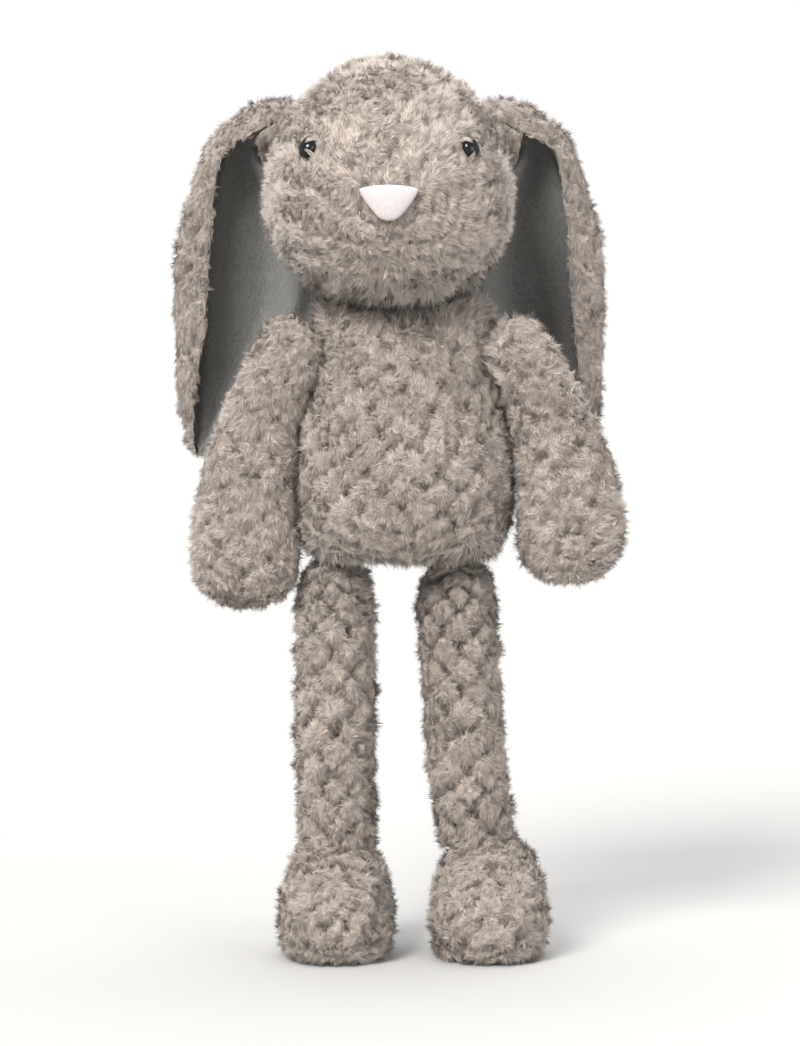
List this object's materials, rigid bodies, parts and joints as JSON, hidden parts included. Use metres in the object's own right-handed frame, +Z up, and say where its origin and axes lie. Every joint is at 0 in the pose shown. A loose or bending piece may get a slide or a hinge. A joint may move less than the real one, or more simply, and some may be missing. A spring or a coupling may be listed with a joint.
{
  "type": "plush rabbit",
  "caption": "Standing long-legged plush rabbit with bubble-textured plush, lined lop ears, and jointed neck, ears, arms, hips and ankles.",
  "frame": {"origin": "bottom centre of the standing rabbit's bounding box, on the floor under the soles", "axes": "+Z up, the rabbit faces -Y, +X is the rabbit's own left"},
  "size_m": [0.2336, 0.1444, 0.4474],
  "materials": {
    "plush": "taupe bubble plush with a short shaggy pile",
    "lining": "grey short-pile plush",
    "filling": "white fibre filling",
    "thread": "sewing thread",
    "nose": "pale pink velour",
    "label": "blank woven tape",
    "eye": "polished black",
    "washer": "moulded"
  },
  "bodies": {
    "torso": {"torso_front": "plush", "torso_back": "plush", "torso_filling": "filling", "tail_cover": "plush", "tail_filling": "filling", "tail_thread": "thread", "care_label": "label"},
    "neck": {"neck_thread": "thread"},
    "head": {"head_side_right": "plush", "head_side_left": "plush", "head_gusset": "plush", "head_filling": "filling", "eye_right": "eye", "eye_left": "eye", "eye_washer_right": "washer", "eye_washer_left": "washer", "nose_patch": "nose", "ear_thread_right": "thread", "ear_thread_left": "thread"},
    "ear_right": {"ear_outer_right": "plush", "ear_lining_right": "lining"},
    "shoulder_right": {"shoulder_thread_right": "thread"},
    "arm_right": {"arm_front_right": "plush", "arm_back_right": "plush", "arm_filling_right": "filling"},
    "hip_right": {"hip_thread_right": "thread"},
    "leg_right": {"leg_cover_right": "plush", "leg_filling_right": "filling", "ankle_thread_right": "thread"},
    "foot_right": {"foot_upper_right": "plush", "foot_sole_right": "plush", "foot_filling_right": "filling"},
    "ear_left": {"ear_outer_left": "plush", "ear_lining_left": "lining"},
    "shoulder_left": {"shoulder_thread_left": "thread"},
    "arm_left": {"arm_front_left": "plush", "arm_back_left": "plush", "arm_filling_left": "filling"},
    "hip_left": {"hip_thread_left": "thread"},
    "leg_left": {"leg_cover_left": "plush", "leg_filling_left": "filling", "ankle_thread_left": "thread"},
    "foot_left": {"foot_upper_left": "plush", "foot_sole_left": "plush", "foot_filling_left": "filling"}
  },
  "joints": [
    {"name": "neck_turn", "type": "hinge", "parent": "torso", "child": "neck", "pos_m": [-0.0002, -0.0041, 0.32355], "axis": [0, 0, 1], "range_deg": [-8, 8]},
    {"name": "neck_nod", "type": "hinge", "parent": "neck", "child": "head", "pos_m": [-0.0002, -0.0041, 0.32355], "axis": [1, 0, 0], "range_deg": [-5, 14]},
    {"name": "ear_lift_right", "type": "hinge", "parent": "head", "child": "ear_right", "pos_m": [-0.0567, 0.0149, 0.4229], "axis": [0, 1, 0], "range_deg": [0, 60]},
    {"name": "shoulder_swing_right", "type": "hinge", "parent": "torso", "child": "shoulder_right", "pos_m": [-0.0537, -0.0171, 0.3058], "axis": [-1, 0, 0], "range_deg": [0, 95]},
    {"name": "shoulder_raise_right", "type": "hinge", "parent": "shoulder_right", "child": "arm_right", "pos_m": [-0.0537, -0.0171, 0.3058], "axis": [0, 1, 0], "range_deg": [0, 70]},
    {"name": "hip_swing_right", "type": "hinge", "parent": "torso", "child": "hip_right", "pos_m": [-0.0307, -0.0051, 0.178], "axis": [-1, 0, 0], "range_deg": [-20, 95]},
    {"name": "hip_splay_right", "type": "hinge", "parent": "hip_right", "child": "leg_right", "pos_m": [-0.0307, -0.0051, 0.178], "axis": [0, 1, 0], "range_deg": [-2, 30]},
    {"name": "ankle_flex_right", "type": "hinge", "parent": "leg_right", "child": "foot_right", "pos_m": [-0.0297, -0.0051, 0.036], "axis": [1, 0, 0], "range_deg": [-20, 20]},
    {"name": "ear_lift_left", "type": "hinge", "parent": "head", "child": "ear_left", "pos_m": [0.0493, 0.0149, 0.4229], "axis": [0, -1, 0], "range_deg": [0, 60]},
    {"name": "shoulder_swing_left", "type": "hinge", "parent": "torso", "child": "shoulder_left", "pos_m": [0.0603, -0.0171, 0.3058], "axis": [-1, 0, 0], "range_deg": [0, 95]},
    {"name": "shoulder_raise_left", "type": "hinge", "parent": "shoulder_left", "child": "arm_left", "pos_m": [0.0603, -0.0171, 0.3058], "axis": [0, -1, 0], "range_deg": [0, 70]},
    {"name": "hip_swing_left", "type": "hinge", "parent": "torso", "child": "hip_left", "pos_m": [0.0303, -0.0051, 0.178], "axis": [-1, 0, 0], "range_deg": [-20, 95]},
    {"name": "hip_splay_left", "type": "hinge", "parent": "hip_left", "child": "leg_left", "pos_m": [0.0303, -0.0051, 0.178], "axis": [0, -1, 0], "range_deg": [-2, 30]},
    {"name": "ankle_flex_left", "type": "hinge", "parent": "leg_left", "child": "foot_left", "pos_m": [0.0433, -0.0051, 0.036], "axis": [1, 0, 0], "range_deg": [-20, 20]}
  ]
}
